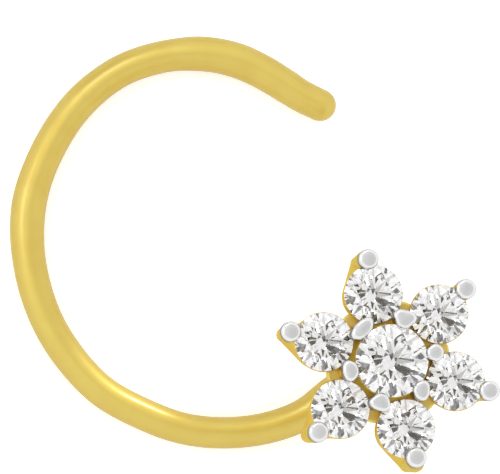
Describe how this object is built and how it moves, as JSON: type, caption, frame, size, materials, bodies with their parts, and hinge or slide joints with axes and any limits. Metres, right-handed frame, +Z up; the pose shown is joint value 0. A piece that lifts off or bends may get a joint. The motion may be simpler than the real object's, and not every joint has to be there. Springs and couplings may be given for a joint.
{
  "type": "nose pin",
  "caption": "Nose pin: an open round wire hook with a post at its end that carries a flower head of claw-set round brilliants.",
  "frame": {"origin": "under the middle of the pin's box, on the surface that the wire hook lies on", "axes": "+Z up out of the flower's face and along the post; +X to the side where the hook is open and the flower sits, +Y towards the hook's free end"},
  "size_m": [0.0114, 0.0112, 0.0071],
  "materials": {
    "yellow_gold": "polished 18 carat yellow gold",
    "rhodium": "white rhodium plating on the tops of the claws, bright but not mirror-sharp",
    "diamond": "colourless round brilliant cut, polished facets"
  },
  "bodies": {
    "root": {"setting_and_wire": "yellow_gold", "stone_center": "diamond", "stone_petal_1": "diamond", "stone_petal_2": "diamond", "stone_petal_3": "diamond", "stone_petal_4": "diamond", "stone_petal_5": "diamond", "stone_petal_6": "diamond"}
  },
  "joints": []
}
